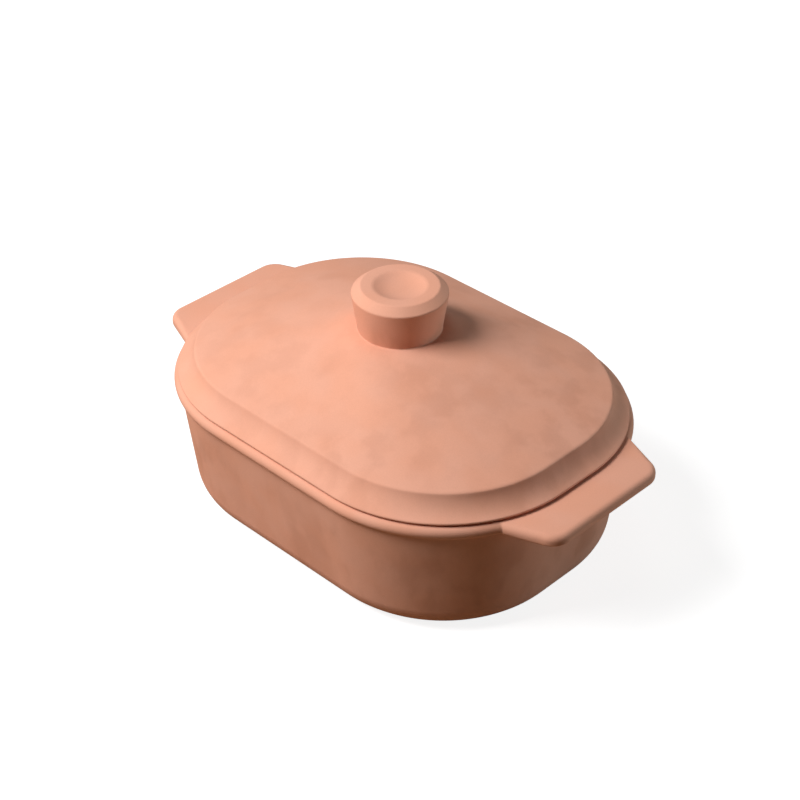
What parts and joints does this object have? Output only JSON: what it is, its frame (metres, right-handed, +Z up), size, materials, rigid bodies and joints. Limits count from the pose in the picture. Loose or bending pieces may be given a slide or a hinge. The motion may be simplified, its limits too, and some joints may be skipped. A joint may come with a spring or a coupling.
{
  "type": "bread loaf baker",
  "caption": "Covered oblong bread loaf baker in bare terracotta: a deep dish with a lug handle at each end, under a sloped lid that lifts off by a round knob.",
  "frame": {"origin": "centre of the dish's flat underside, on the surface that it stands on", "axes": "+X along the dish to one handle, +Y across it, +Z up through the knob"},
  "size_m": [0.3444, 0.226, 0.1642],
  "materials": {
    "dish_clay": "bare fired terracotta, matt",
    "lid_clay": "bare fired terracotta, matt",
    "knob_clay": "bare fired terracotta, matt"
  },
  "bodies": {
    "dish": {"baking_dish": "dish_clay"},
    "lid": {"lid": "lid_clay", "lid_knob": "knob_clay"}
  },
  "joints": [
    {"name": "lid_lift", "type": "slide", "parent": "dish", "child": "lid", "axis": [0, 0, 1], "range_m": [0, 0.12]}
  ]
}
